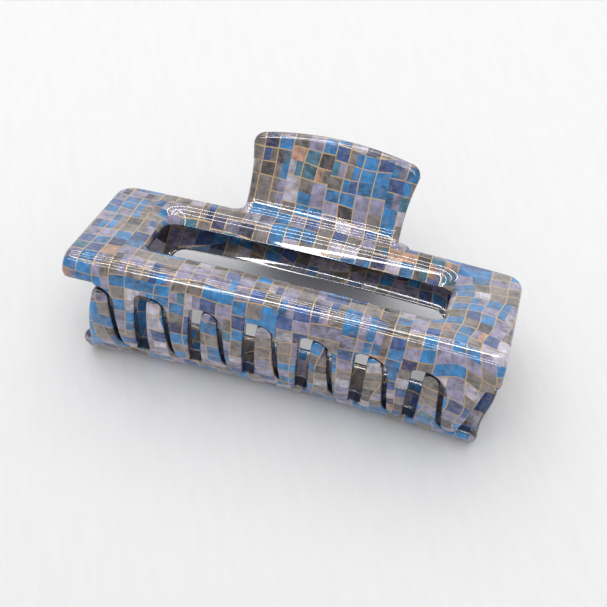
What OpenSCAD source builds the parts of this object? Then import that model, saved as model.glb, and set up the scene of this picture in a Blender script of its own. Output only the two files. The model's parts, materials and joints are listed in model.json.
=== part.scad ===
// Rectangular claw clip: two toothed jaws on one hinge pin, closed by a torsion spring.
// X runs along the clip, Y from the mouth to the handles, Z up. Sizes are in millimetres.
// The clip lies on its lower jaw, touching at the lower front edge and the lower handle.

/* [Jaws] */
// Length of the clip along the hinge
clip_length = 105; // [90:1:130]
// Distance from the mouth edge to the rear edge of the back bar, measured level
jaw_depth = 36; // [33:0.5:42]
// Height of the mouth edge above the middle plane of the clip
mouth_height = 19; // [17:0.5:21]
// Height of the rear edge of the back bar above the middle plane
rear_height = 5.2; // [4.8:0.1:6.5]
// Thickness of the moulded wall
wall_thickness = 3.6; // [3:0.1:4]
// Angle of the slight corner where the rounding of a free edge meets a face
edge_corner = 14; // [10:1:25]
// Radius of the long bend between the top plate and the mouth wall
bend_radius = 4.4; // [4.2:0.1:5.5]
// How far the flat ends of the front bar stand back from the rounded ends of the plate
end_step = 0.4; // [0.2:0.1:1]
// How far the middle of the jaws is set back, so that the clip follows the head
bow = 1.8; // [1:0.1:2.6]
// Radius of the rear corners, seen from above the plate
rear_corner_radius = 4.6; // [3:0.1:6]

/* [Window] */
// Distance from the mouth edge to the window, along the plate
window_front = 11.2; // [10:0.1:12.5]
// Distance from the mouth edge to the far side of the window, along the plate
window_rear = 29.4; // [27:0.1:31]
// Length of the window along the clip
window_length = 72.4; // [60:1:76]
// Radius of the window corners next to the mouth
window_front_radius = 2.4; // [1.5:0.1:5]
// Radius of the window corners next to the handle
window_rear_radius = 3.4; // [1.5:0.1:5]

/* [Teeth] */
// Distance between neighbouring teeth of one jaw
tooth_pitch = 13.35; // [12.6:0.05:13.6]
// Sideways shift of each jaw's row, so that the two rows pass between each other
tooth_shift = 2.9; // [2.7:0.05:3.3]
// Width of a tooth where it leaves the front bar
tooth_root_width = 5.4; // [5:0.1:5.6]
// Width of a tooth at its rounded tip
tooth_tip_width = 3.9; // [3.2:0.1:4.4]
// Height of the underside of the front bar above the middle plane
bar_underside = 12; // [11:0.1:12.4]
// Air left between a tooth tip and the other jaw's front bar
tip_clearance = 2.2; // [1:0.1:3]
// Radius of the sweep that joins the outer side of a tooth to the bar
sweep_radius = 4.6; // [3:0.1:5]
// Radius of the small fillet on the other side of a tooth
fillet_radius = 1.6; // [1:0.1:2]

/* [Handles] */
// Angle that a handle rises from the middle plane
handle_angle = 40; // [36:1:44]
// Length of a handle at its corners, from the fold with the back bar
handle_length = 18.5; // [16:0.5:21]
// Thickness of a handle
handle_thickness = 2.8; // [2.4:0.1:3]
// How much further the middle of the handle reaches than its corners
handle_arch = 2.9; // [1:0.1:4]
// Width of a handle at the fold
handle_base_width = 40.2; // [36:0.2:44]
// Width of a handle near its tip
handle_tip_width = 43.4; // [40:0.2:48]
// Radius of the hollow fold between the back bar and the handle
fold_radius = 6; // [4:0.5:8]
// Radius of the handle's corners
handle_corner_radius = 3; // [2:0.1:5]

/* [Hinge] */
// How far the hinge pin lies behind the rear edge of the back bar, measured level
hinge_offset = 3.8; // [3.4:0.1:5]
// Diameter of the steel pin
pin_diameter = 2.4; // [2:0.1:2.6]
// Outer diameter of the hinge knuckles
knuckle_diameter = 6; // [5.6:0.1:6.6]
// Width of each knuckle along the pin
knuckle_width = 3.6; // [3:0.1:4.2]
// Space between the two inner knuckles, where the spring sits
spring_bay = 16; // [15:0.5:18]
// Gap between knuckles that turn against each other
knuckle_gap = 0.3; // [0.2:0.05:0.5]
// Radial clearance of the pin in the upper jaw, where it turns
running_clearance = 0.05; // [0.02:0.01:0.1]
// How far the pin ends stand back from the outer knuckle faces
pin_recess = 0.4; // [0:0.1:1]

/* [Spring] */
// Diameter of the spring wire
wire_diameter = 1.2; // [1:0.1:1.4]
// Air between the pin and the inside of the coil
coil_clearance = 0.6; // [0.4:0.1:0.8]
// Number of turns, beside the half turn between the legs
coil_turns = 8; // [6:1:9]
// Air between neighbouring turns of the coil
turn_gap = 0.15; // [0.05:0.05:0.2]
// Length of each straight leg beyond the coil
leg_length = 11; // [9:0.5:12]
// Air between a spring leg and the handle that it presses on
leg_clearance = 0.3; // [0.2:0.05:0.5]
// Height of the two small ribs that keep each leg in place
rib_height = 1.1; // [0.8:0.1:1.4]
// Width of those ribs
rib_width = 1; // [0.8:0.1:1.4]
// Length of those ribs along the handle
rib_length = 5; // [4:0.5:7]
// Distance from the fold to those ribs
rib_start = 2; // [1:0.5:3]

/* [Hidden] */

overlap = 0.2;                    // how far a rib reaches into the handle
reach = 200;                      // longer than anything in the clip
tooth_count = 7;
edge_radius = wall_thickness / 2 / cos(edge_corner);
round_facets = 48;
bow_facets = 1440;

// The plate slopes down from the mouth edge to the back bar.
plate_slope = atan2(mouth_height - rear_height, jaw_depth);
plate_length = norm([jaw_depth, mouth_height - rear_height]);

// A level point (y, z), written along the plate (s) and square to it (n).
function on_plate(y, z) = [
    y * cos(plate_slope) - (z - mouth_height) * sin(plate_slope),
    y * sin(plate_slope) + (z - mouth_height) * cos(plate_slope)];

// The jaws bow on a large circle whose axis is square to the plate.
bow_radius = (pow(clip_length / 2, 2) + bow * bow) / (2 * bow);
bow_axis = bow - bow_radius;
bow_angle = 2 * asin((clip_length / 2 + wall_thickness) / (bow_radius - plate_length));
function bow_at(x) = bow_axis + sqrt(bow_radius * bow_radius - x * x);

// The mouth wall is an arc about the hinge, so that the teeth swing without rubbing.
hinge_distance = jaw_depth + hinge_offset;
hinge_on_plate = on_plate(hinge_distance, 0);
mouth_radius = norm([hinge_distance, mouth_height]);
hinge_y = hinge_distance + bow * cos(plate_slope);

// Centre of the long bend, tangent to the plate and to the mouth wall.
bend_centre = [
    hinge_on_plate[0] - sqrt(pow(mouth_radius - bend_radius, 2)
                             - pow(hinge_on_plate[1] + bend_radius, 2)),
    -bend_radius];
bend_end = 360 + atan2(bend_centre[1] - hinge_on_plate[1], bend_centre[0] - hinge_on_plate[0]);

// Directions from the hinge, counted from +Y in the level frame.
function wall_direction(z) = 180 - asin(z / mouth_radius);
bar_edge = wall_direction(bar_underside + edge_radius);
tooth_reach = bar_underside - tip_clearance;

// The handle leaves the plate on a hollow fold, with a slight corner, and then runs straight.
fold_angle = handle_angle + plate_slope;
fold_rise = fold_radius * cos(edge_corner);
fold_run = (fold_radius - fold_rise * cos(fold_angle)) / sin(fold_angle);
fold_centre = [plate_length - fold_run, fold_rise];
fold_end = fold_rise * sin(fold_angle) - fold_run * cos(fold_angle);
handle_end = handle_length + handle_arch;

// Outline of the handle: hollow sides, corners and arched tip run into each other.
arch_radius = (pow(handle_tip_width / 2, 2) + handle_arch * handle_arch) / (2 * handle_arch);
arch_centre = handle_end - arch_radius;
tip_corner = [
    handle_tip_width / 2 - handle_corner_radius,
    arch_centre + sqrt(pow(arch_radius - handle_corner_radius, 2)
                       - pow(handle_tip_width / 2 - handle_corner_radius, 2))];
side_step = [handle_base_width / 2 - tip_corner[0], tip_corner[1] - fold_end];
side_radius = (side_step * side_step - pow(handle_corner_radius, 2))
              / (2 * (handle_corner_radius - side_step[0]));
side_centre = [handle_base_width / 2 + side_radius, fold_end];
side_turn = atan2(side_step[1], side_centre[0] - tip_corner[0]);
window_half = window_length / 2;
end_bead = clip_length / 2 - edge_radius;
front_half = clip_length / 2 - end_step;

// Rest attitude: the lower bend and the tip of the lower handle touch the ground.
function level(p) = [
    p[0] * cos(plate_slope) + p[1] * sin(plate_slope),
    mouth_height - p[0] * sin(plate_slope) + p[1] * cos(plate_slope)];
function along_handle(w, n) = [
    plate_length + w * cos(fold_angle) - n * sin(fold_angle),
    w * sin(fold_angle) + n * cos(fold_angle)];
tip_outside = level(along_handle(handle_end, 0) + [bow, 0]);
tip_inside = level(along_handle(handle_end, -handle_thickness) + [bow, 0]);
bend_level = level(bend_centre + [bow_at(front_half), 0]);
contact_run = tip_outside - bend_level;
rest_angle = atan2(contact_run[1], contact_run[0]) - asin(bend_radius / norm(contact_run));
rest_height = bend_level[1] * cos(rest_angle) - bend_level[0] * sin(rest_angle) + bend_radius;

// The clip is centred between its foremost teeth and the tips of its handles.
front_reach = hinge_distance - mouth_radius
              + bow_at(tooth_x(tooth_count - 1) + tooth_tip_width / 2) * cos(plate_slope);
rest_middle = (front_reach + tip_inside[0] * cos(rest_angle)
               + tip_inside[1] * sin(abs(rest_angle))) / 2;

// Hinge stack, counted outward from the middle of the clip.
inner_knuckle = spring_bay / 2;
outer_knuckle = inner_knuckle + knuckle_width + knuckle_gap;
pin_half = outer_knuckle + knuckle_width - pin_recess;
knuckle_radius = knuckle_diameter / 2;

// Spring: a coil round the pin with one leg under each handle.
coil_radius = pin_diameter / 2 + coil_clearance + wire_diameter / 2;
handle_inside = level(along_handle(0, -handle_thickness) + [bow, 0]) - [hinge_y, 0];
leg_seat = handle_inside[1] * cos(handle_angle) - handle_inside[0] * sin(handle_angle)
           - leg_clearance - wire_diameter / 2;
leg_angle = handle_angle + asin((leg_seat - coil_radius) / leg_length);
coil_half = coil_turns * (wire_diameter + turn_gap) / 2;

// Points along an arc, both ends included.
function arc(centre, radius, from, to, steps = 14) = [
    for (i = [0 : steps]) let (a = from + (to - from) * i / steps)
        centre + radius * [cos(a), sin(a)]];

// ---- frames -------------------------------------------------------------------------

// Children drawn along and square to the upper plate.
module plate_frame() {
    translate([0, 0, mouth_height]) rotate([-plate_slope, 0, 0]) children();
}

// The whole clip as it lies on the ground.
module at_rest() {
    translate([0, -rest_middle, rest_height]) rotate([rest_angle, 0, 0]) children();
}

// The lower jaw is the upper one turned over.
module turned_over() {
    rotate([0, 180, 0]) children();
}

// ---- sections and sweeps ------------------------------------------------------------

// A flat pie slice, used to keep part of a ring.
module slice(radius, from, to) {
    span = to - from;
    far = radius * 1.6;
    polygon([
        [0, 0],
        far * [cos(from), sin(from)],
        far * [cos(from + span / 3), sin(from + span / 3)],
        far * [cos(from + 2 * span / 3), sin(from + 2 * span / 3)],
        far * [cos(to), sin(to)]]);
}

// Part of a flat ring, its wall lying inside the given radius.
module ring_part(radius, wall, from, to) {
    intersection() {
        difference() {
            circle(r = radius, $fn = 4 * round_facets);
            circle(r = radius - wall, $fn = 4 * round_facets);
        }
        slice(radius, from, to);
    }
}

// Carries a section in (s, n) along the bow and trims it to a half length.
module bowed(half) {
    intersection() {
        translate([0, bow_axis, 0])
            rotate([0, 0, 90 - bow_angle / 2])
                rotate_extrude(angle = bow_angle, $fn = bow_facets)
                    translate([bow_radius, 0]) children();
        cube([2 * half, 2 * reach, 2 * reach], center = true);
    }
}

// Section of a rounded free edge, centred in the thickness of the wall.
module edge_profile() {
    intersection() {
        circle(r = edge_radius, $fn = round_facets);
        square([4 * edge_radius, wall_thickness], center = true);
    }
}

// Straight rounded edge along the plate, from (x, s) for a length in the s direction.
module straight_edge(x, from, to) {
    translate([x, from, -wall_thickness / 2]) rotate([-90, 0, 0])
        linear_extrude(to - from) edge_profile();
}

// Rounded edge that bends about a point of the plate, over a quarter turn.
module bent_edge(centre, bend) {
    translate([centre[0], centre[1], -wall_thickness / 2])
        rotate_extrude(angle = 90, $fn = 4 * round_facets)
            translate([bend, 0]) edge_profile();
}

// ---- jaw ----------------------------------------------------------------------------

// Section of the front bar: plate edge, long bend and the top of the mouth wall.
module front_bar_section() {
    translate([bend_centre[0], -wall_thickness])
        square([window_front - edge_radius - bend_centre[0], wall_thickness]);
    translate([window_front - edge_radius, -wall_thickness / 2]) edge_profile();
    translate(bend_centre) ring_part(bend_radius, wall_thickness, 89, bend_end + 1);
    translate(hinge_on_plate)
        ring_part(mouth_radius, wall_thickness, bend_end, bar_edge + plate_slope);
    translate(hinge_on_plate) rotate(bar_edge + plate_slope)
        translate([mouth_radius - wall_thickness / 2, 0]) rotate(90) edge_profile();
}

// Section of the back bar, rounded on both edges.
module back_bar_section() {
    front = window_rear + edge_radius;
    back = plate_length - edge_radius;
    translate([front, -wall_thickness]) square([back - front, wall_thickness]);
    translate([front, -wall_thickness / 2]) edge_profile();
    translate([back, -wall_thickness / 2]) edge_profile();
}

// One end of the plate: a flat band beside the window with round edges all the way.
module end_band() {
    inner = window_half + edge_radius;
    back = plate_length - edge_radius;
    corner = rear_corner_radius - edge_radius;
    front_corner = window_front - edge_radius + bow_at(window_half) - 0.05;
    rear_corner = window_rear + edge_radius + bow_at(window_half);
    // flat of the band
    translate([inner, bend_centre[0], -wall_thickness])
        cube([end_bead - inner, back - corner - bend_centre[0], wall_thickness]);
    translate([inner, rear_corner, -wall_thickness])
        cube([end_bead - corner - inner, back - rear_corner, wall_thickness]);
    // outer edge and rear corner
    straight_edge(end_bead, bend_centre[0], back - corner);
    bent_edge([end_bead - corner, back - corner], corner);
    translate([end_bead - corner, back - corner, -wall_thickness])
        cylinder(r = corner, h = wall_thickness, $fn = round_facets);
    // window side, with a filled corner at each end
    straight_edge(inner, front_corner + window_front_radius,
                  rear_corner - window_rear_radius);
    window_corner([window_half, front_corner + edge_radius], window_front_radius, 1);
    window_corner([window_half, rear_corner - edge_radius], window_rear_radius, -1);
}

// Fills one corner of the window round to a radius; turn is 1 at the mouth, -1 at the back.
module window_corner(corner, radius, turn) {
    centre = corner + radius * [-1, turn];
    side = radius + edge_radius;
    intersection() {
        translate([centre[0], centre[1], 0]) rotate_extrude($fn = 2 * round_facets) {
            translate([side, -wall_thickness / 2]) edge_profile();
            translate([side, -wall_thickness]) square([side, wall_thickness]);
        }
        translate([centre[0], turn > 0 ? centre[1] - side : centre[1], -reach / 2])
            cube([side, side, reach]);
    }
}

// Outline of one tooth, seen from the mouth, centred on x = 0.
module tooth_outline() {
    tip = -tooth_reach + tooth_tip_width / 2;
    translate([0, tip]) circle(d = tooth_tip_width, $fn = round_facets);
    polygon([
        [-tooth_root_width / 2, bar_underside + edge_radius],
        [-tooth_root_width / 2, bar_underside - fillet_radius],
        [-tooth_tip_width / 2, tip],
        [tooth_tip_width / 2, tip],
        [tooth_root_width / 2, bar_underside - fillet_radius],
        [tooth_root_width / 2, bar_underside + edge_radius]]);
}

// Corner filler between the bar and one side of a tooth; side is -1 or 1.
module root_fillet(side, radius) {
    foot = tooth_root_width / 2;
    scale([side, 1]) polygon(concat(
        [[0, bar_underside + edge_radius]],
        [[foot + radius, bar_underside + edge_radius]],
        arc([foot + radius, bar_underside - radius], radius, 90, 180),
        [[0, bar_underside - radius]]));
}

// All the teeth, cut out of one bowed strip of the mouth wall.
module teeth() {
    intersection() {
        plate_frame() bowed(end_bead) translate(hinge_on_plate)
            ring_part(mouth_radius, wall_thickness, bar_edge + plate_slope - 2,
                      wall_direction(-tooth_reach - 1) + plate_slope);
        rotate([90, 0, 0]) linear_extrude(2 * reach, center = true)
            for (i = [0 : tooth_count - 1]) translate([tooth_x(i), 0]) {
                tooth_outline();
                root_fillet(-1, sweep_radius);
                root_fillet(1, i == tooth_count - 1 ? sweep_radius : fillet_radius);
            }
    }
}

function tooth_x(i) = tooth_shift + (i - (tooth_count - 1) / 2) * tooth_pitch;

// Handle section in (s, n): the hollow fold and the straight blade.
module handle_section() {
    outer = fold_radius + handle_thickness;
    blade = handle_end + handle_thickness;
    start = window_rear + 2 * edge_radius;
    polygon(concat(
        [[start, 0]],
        arc(fold_centre, fold_radius, -90, fold_angle - 90),
        [along_handle(blade, 0), along_handle(blade, -handle_thickness)],
        arc(fold_centre, outer, fold_angle - 90, -90),
        [[start, -handle_thickness]]));
}

// Outline of the handle in its own plane: x across, w up from the fold.
module handle_outline() {
    side = arc(side_centre, side_radius, 180, 180 - side_turn);
    intersection() {
        translate([0, arch_centre]) circle(r = arch_radius, $fn = 8 * round_facets);
        union() {
            for (s = [-1, 1]) scale([s, 1]) polygon(concat(
                [[0, -reach], [handle_base_width / 2, -reach]],
                side,
                [tip_corner, [tip_corner[0], reach], [0, reach]]));
            for (s = [-1, 1]) translate([s * tip_corner[0], tip_corner[1]])
                circle(r = handle_corner_radius, $fn = round_facets);
        }
    }
}

// The handle: a folded blade cut to its outline.
module handle() {
    translate([0, bow, 0]) intersection() {
        rotate([90, 0, 90])
            linear_extrude(handle_tip_width + handle_thickness, center = true) handle_section();
        blade_frame() linear_extrude(2 * reach, center = true) handle_outline();
    }
}

// Children drawn on the outer face of the handle.
module blade_frame() {
    translate([0, plate_length, 0]) rotate([fold_angle, 0, 0]) children();
}

// Two small ribs under the handle with the spring leg between them.
module leg_ribs(x) {
    channel = wire_diameter / 2 + leg_clearance;
    translate([0, bow, 0]) blade_frame() for (s = [-1, 1])
        translate([x + s * (channel + rib_width / 2) - rib_width / 2, fold_end + rib_start,
                   -handle_thickness - rib_height])
            cube([rib_width, rib_length, rib_height + overlap]);
}

// Hinge knuckles: a barrel on the pin with a web up to the fold of the handle.
module knuckles(start) {
    fold_level = level(fold_centre + [bow, 0]);
    mid_fold = fold_radius + handle_thickness / 2;
    front = fold_level + mid_fold * [cos(-90 - plate_slope), sin(-90 - plate_slope)];
    back = fold_level + mid_fold * [cos(handle_angle - 96), sin(handle_angle - 96)];
    for (s = [-1, 1]) translate([s * (start + knuckle_width / 2), 0, 0])
        rotate([90, 0, 90]) linear_extrude(knuckle_width, center = true) {
            translate([hinge_y, 0]) circle(r = knuckle_radius, $fn = round_facets);
            polygon([
                [hinge_y - knuckle_radius * cos(25), knuckle_radius * sin(25)],
                front,
                fold_level + mid_fold * [cos(-75), sin(-75)],
                back,
                [hinge_y + knuckle_radius, 0],
                [hinge_y, 0]]);
        }
}

// One jaw with its handle and knuckles, but no pin bore.
module jaw_body(knuckle_start, leg_side) {
    plate_frame() {
        bowed(front_half) front_bar_section();
        bowed(end_bead - rear_corner_radius + edge_radius) back_bar_section();
        end_band();
        mirror([1, 0, 0]) end_band();
        handle();
        leg_ribs(leg_side * coil_half);
    }
    teeth();
    knuckles(knuckle_start);
}

// Bore along the hinge line.
module hinge_bore(diameter) {
    translate([0, hinge_y, 0]) rotate([0, 90, 0])
        cylinder(d = diameter, h = reach, center = true, $fn = round_facets);
}

// ---- nodes --------------------------------------------------------------------------

module upper_jaw() {
    color("steelblue") at_rest() difference() {
        jaw_body(inner_knuckle, 1);
        hinge_bore(pin_diameter + 2 * running_clearance);
    }
}

module lower_jaw() {
    color("slategray") at_rest() difference() {
        turned_over() jaw_body(outer_knuckle, 1);
        hinge_bore(pin_diameter);
    }
}

module hinge_pin() {
    color("silver") at_rest()
        translate([0, hinge_y, 0]) rotate([0, 90, 0])
            cylinder(d = pin_diameter, h = 2 * pin_half, center = true, $fn = round_facets);
}

module torsion_spring() {
    color("gainsboro") at_rest() translate([0, hinge_y, 0]) spring_wire();
}

// Wire swept along its path as one tube; the path leaves the coil along both handles.
module spring_wire() {
    side_points = 8;
    steps = 16;
    turn_span = 360 * coil_turns + 180 + 2 * leg_angle;
    rings = floor(turn_span / (360 / steps));
    function coil_point(k) = let (a = 90 + leg_angle - k * turn_span / rings) [
        coil_half - k * 2 * coil_half / rings, coil_radius * cos(a), coil_radius * sin(a)];
    leg_up = [0, cos(leg_angle), sin(leg_angle)];
    leg_down = [0, cos(leg_angle), -sin(leg_angle)];
    path = concat(
        [coil_point(0) + leg_length * leg_up],
        [for (k = [0 : rings]) coil_point(k)],
        [coil_point(rings) + leg_length * leg_down]);
    last = len(path) - 1;
    function tangent(i) = let (d = path[min(i + 1, last)] - path[max(i - 1, 0)]) d / norm(d);
    function ring(i) = let (
            t = tangent(i),
            flat = cross(t, [1, 0, 0]),
            u = flat / norm(flat),
            v = cross(t, u))
        [for (j = [0 : side_points - 1]) let (a = 360 * j / side_points)
            path[i] + wire_diameter / 2 * (u * cos(a) + v * sin(a))];
    points = [for (i = [0 : last]) each ring(i)];
    sides = [for (i = [0 : last - 1], j = [0 : side_points - 1]) let (
            a = i * side_points + j,
            b = i * side_points + (j + 1) % side_points)
        [b, a, a + side_points, b + side_points]];
    first_cap = [for (j = [0 : side_points - 1]) j];
    last_cap = [for (j = [side_points - 1 : -1 : 0]) last * side_points + j];
    polyhedron(points, concat([first_cap], sides, [last_cap]), convexity = 10);
}

upper_jaw();
lower_jaw();
hinge_pin();
torsion_spring();
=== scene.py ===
"""Claw clip in lacquered shell mosaic: two jaws, a steel hinge pin and its spring.

Each jaw starts as a flat blank, drawn in x along the clip and t along the sheet from the rear
edge to the teeth. The blank is rounded, then wrapped over the plate, the long bend, the mouth
wall and the folded handle, and keeps its flat coordinates as the map that the mosaic follows.
"""

import json
import math

import bpy
import numpy as np
from bpy.props import FloatProperty, FloatVectorProperty, IntProperty, PointerProperty
from mathutils import Matrix, Vector


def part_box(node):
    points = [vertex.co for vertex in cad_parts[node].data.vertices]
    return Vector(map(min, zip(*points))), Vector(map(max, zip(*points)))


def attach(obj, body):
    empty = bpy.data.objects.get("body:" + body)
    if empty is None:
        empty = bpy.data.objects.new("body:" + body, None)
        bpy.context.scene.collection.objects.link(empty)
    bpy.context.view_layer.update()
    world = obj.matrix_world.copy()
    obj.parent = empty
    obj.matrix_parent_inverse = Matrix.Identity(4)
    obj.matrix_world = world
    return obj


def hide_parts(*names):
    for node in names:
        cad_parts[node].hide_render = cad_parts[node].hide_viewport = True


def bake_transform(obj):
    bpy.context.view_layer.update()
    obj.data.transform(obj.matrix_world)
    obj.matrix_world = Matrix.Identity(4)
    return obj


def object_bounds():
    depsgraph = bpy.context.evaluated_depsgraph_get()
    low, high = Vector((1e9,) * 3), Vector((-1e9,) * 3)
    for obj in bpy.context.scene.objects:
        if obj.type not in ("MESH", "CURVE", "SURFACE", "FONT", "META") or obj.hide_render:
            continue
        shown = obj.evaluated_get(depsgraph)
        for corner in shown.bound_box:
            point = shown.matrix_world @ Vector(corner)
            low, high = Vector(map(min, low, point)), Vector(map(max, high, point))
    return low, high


bl_info = {
    "name": "Claw Clip",
    "version": (1, 0, 0),
    "blender": (4, 5, 0),
    "location": "View3D > Sidebar > Clip",
    "description": "Builds a mosaic claw clip over its packed frame",
    "category": "Add Mesh",
}

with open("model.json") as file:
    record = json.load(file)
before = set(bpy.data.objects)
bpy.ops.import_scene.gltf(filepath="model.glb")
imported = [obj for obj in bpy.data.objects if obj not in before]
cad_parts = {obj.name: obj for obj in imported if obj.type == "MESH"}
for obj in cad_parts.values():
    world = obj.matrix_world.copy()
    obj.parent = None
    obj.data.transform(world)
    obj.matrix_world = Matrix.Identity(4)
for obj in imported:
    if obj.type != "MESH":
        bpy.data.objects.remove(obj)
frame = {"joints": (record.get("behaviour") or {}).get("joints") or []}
CAD_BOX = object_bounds()
HINGE = Vector(frame["joints"][0]["pos_m"])
PIN_LOW, PIN_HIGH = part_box("hinge_pin")
PIN_RADIUS = (PIN_HIGH.z - PIN_LOW.z) / 2
MM = 0.001

# how the flat blank is made smooth
BAR_ROUNDING = 0.46  # rounding of the bars' edges as a share of the wall
VOXEL = 0.38 * MM  # grid that joins the bars and the teeth
SOFTENING = 4  # rounds of smoothing that take the grid's steps away
SET_BACK = 0.05 * MM  # outer face below the blank's zero, inside the solids

# places where the sheet's shapes run into each other
COMB_OVERLAP = 4 * MM  # how far the row of teeth reaches into its bar
HANDLE_FILLET = 1.2 * MM  # fillet between the handle and the rear bar
FRONT_CROWN = 0.2  # share of the rear bar's fall that the front bar has
DRAW_IN_EASE = 10 * MM  # run over which the drawn-in ends set in
FOLD_EASE = 3 * MM  # width beside the handle over which the fold fades
FOLD_DEPTH = 2.5 * MM  # run behind the rear edge in which all the width folds

# knuckles, ribs and spring
BARREL_TURN = 205  # degrees of a knuckle's barrel outside its web
WEB_SHORT = 6  # degrees by which the web stops short of the handle
KNUCKLE_EDGE = 0.25 * MM  # rounding of the knuckles' and ribs' edges
BORE_LENGTH = 60 * MM  # cutter for the pin's bore, longer than both knuckles
TURN_GAP = 0.15 * MM  # space between the spring's turns
LEG_GAP = 0.3 * MM  # space between a spring leg and its rib
RIB_HALF = 0.5 * MM  # half the width of a rib
RIB_RUN = 5 * MM  # length of a rib along the handle
RIB_HEIGHT = 1.6 * MM
RIB_START = 4.5 * MM  # middle of a rib past the fold, along the handle
RIB_SINK = 0.3 * MM  # middle of a rib below the handle's inner face


def length(name, description, default):
    """A size in metres that the panel shows as a distance."""
    return FloatProperty(name=name, description=description, default=default, min=0.0,
                         max=1.0, unit="LENGTH", subtype="DISTANCE", precision=5)


def angle(name, description, degrees):
    """An angle that the panel shows in degrees."""
    return FloatProperty(name=name, description=description,
                         default=math.radians(degrees), subtype="ANGLE")


def number(name, description, default, low=0.0):
    """A plain number."""
    return FloatProperty(name=name, description=description, default=default, min=low)


def colour(name, description, default):
    """A linear colour."""
    return FloatVectorProperty(name=name, description=description, default=default,
                               size=3, min=0.0, max=1.0, subtype="COLOR")


class JawSizes(bpy.types.PropertyGroup):
    """Sizes of one moulded jaw."""
    clip_length: length("Length", "Length of the clip along the hinge",
                        CAD_BOX[1].x - CAD_BOX[0].x)
    depth: length("Depth", "From the mouth edge to the rear edge, level", 36 * MM)
    mouth_height: length("Mouth height", "Mouth edge above the middle plane", 19 * MM)
    rear_height: length("Rear height", "Rear edge above the middle plane", 5.2 * MM)
    wall: length("Wall", "Thickness of the moulded wall", 3.6 * MM)
    bend_radius: length("Bend radius", "Long bend between plate and mouth wall", 4.4 * MM)
    bow: length("Bow", "Set-back of the middle of the jaw", 1.8 * MM)
    hinge_distance: length("Hinge distance", "Mouth edge to hinge pin, level", 39.8 * MM)
    rest_angle: angle("Rest angle", "Tilt of the clip as it lies on its lower jaw", 0.6195)
    rear_corner: length("Rear corner", "Radius of the rear corners", 4.6 * MM)
    nose_corner: length("Nose corner", "Radius of the lower corners of the bar", 2.0 * MM)
    draw_in: length("Draw-in", "The lower jaw's bar, in at each end", 2.3 * MM)
    draw_from: length("Draw-in start", "Place from the middle where that begins", 40 * MM)


class WindowSizes(bpy.types.PropertyGroup):
    """Window in a jaw's plate."""
    front: length("Front", "Mouth edge to window, along the plate", 11.2 * MM)
    rear: length("Rear", "Mouth edge to the far side, along the plate", 29.4 * MM)
    width: length("Width", "Length of the window along the clip", 72.4 * MM)
    front_corner: length("Front corners", "Radius next to the mouth", 2.4 * MM)
    rear_corner: length("Rear corners", "Radius next to the handle", 3.6 * MM)
    crown: length("Crown", "Radius of the rear bar's fall towards the window", 8.8 * MM)
    crown_width: length("Crown width", "Width of that fall", 7.2 * MM)


class ToothSizes(bpy.types.PropertyGroup):
    """Row of teeth on one jaw."""
    count: IntProperty(name="Teeth", description="Teeth on one jaw", default=7, min=1)
    pitch: length("Pitch", "Distance between neighbouring teeth", 13.35 * MM)
    shift: length("Shift", "Sideways shift of the row", 2.9 * MM)
    root: length("Root width", "Width at the bar", 5.4 * MM)
    tip: length("Tip width", "Width at the rounded tip", 3.9 * MM)
    underside: length("Bar underside", "Underside of the bar above the middle", 12 * MM)
    clearance: length("Tip clearance", "Tooth tip to the other jaw's bar", 2.2 * MM)
    sweep: length("Sweep radius", "Large fillet on the outer side", 4.6 * MM)
    fillet: length("Fillet radius", "Small fillet on the other side", 1.6 * MM)
    flare: length("Flare", "Extra width of the last tooth at the bar", 4.4 * MM)
    edge: length("Edge rounding", "Rounding of the teeth's edges", 0.5 * MM)
    drop: length("Row drop", "How much lower the row hangs in the middle", 0.5 * MM)
    lean: number("Row lean", "Slope of the row along the clip", 0.0225, low=-1.0)


class HandleSizes(bpy.types.PropertyGroup):
    """Folded pinch handle."""
    rise: angle("Rise", "Angle of the handle above the middle plane", 40)
    run: length("Run", "Length at the corners, from the fold", 19.6 * MM)
    arch: length("Arch", "Extra reach of the middle of the tip", 2.5 * MM)
    thickness: length("Thickness", "Thickness of the handle", 2.8 * MM)
    base_width: length("Base width", "Width at the fold", 40.2 * MM)
    tip_width: length("Tip width", "Width near the tip", 43.4 * MM)
    fold_radius: length("Fold radius", "Hollow fold to the back bar", 6 * MM)
    corner: length("Corner radius", "Radius of the handle's corners", 3 * MM)


class HingeSizes(bpy.types.PropertyGroup):
    """Knuckles and spring round the pin."""
    knuckle: length("Knuckle diameter", "Outer diameter of a knuckle", 6 * MM)
    knuckle_width: length("Knuckle width", "Width of a knuckle", 3.6 * MM)
    bay: length("Spring bay", "Space between the inner knuckles", 16 * MM)
    gap: length("Knuckle gap", "Gap between neighbouring knuckles", 0.3 * MM)
    clearance: length("Clearance", "Running clearance of the pin", 0.05 * MM)
    wire: length("Wire", "Diameter of the spring wire", 1.2 * MM)
    coil: length("Coil radius", "Middle of the wire to the hinge axis", 2.4 * MM)
    turns: IntProperty(name="Turns", description="Full turns of the coil", default=8)
    leg: length("Leg", "Length of each straight leg", 11 * MM)
    leg_angle: angle("Leg angle", "Rise of a leg above the middle plane", 39.1274)


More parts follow.
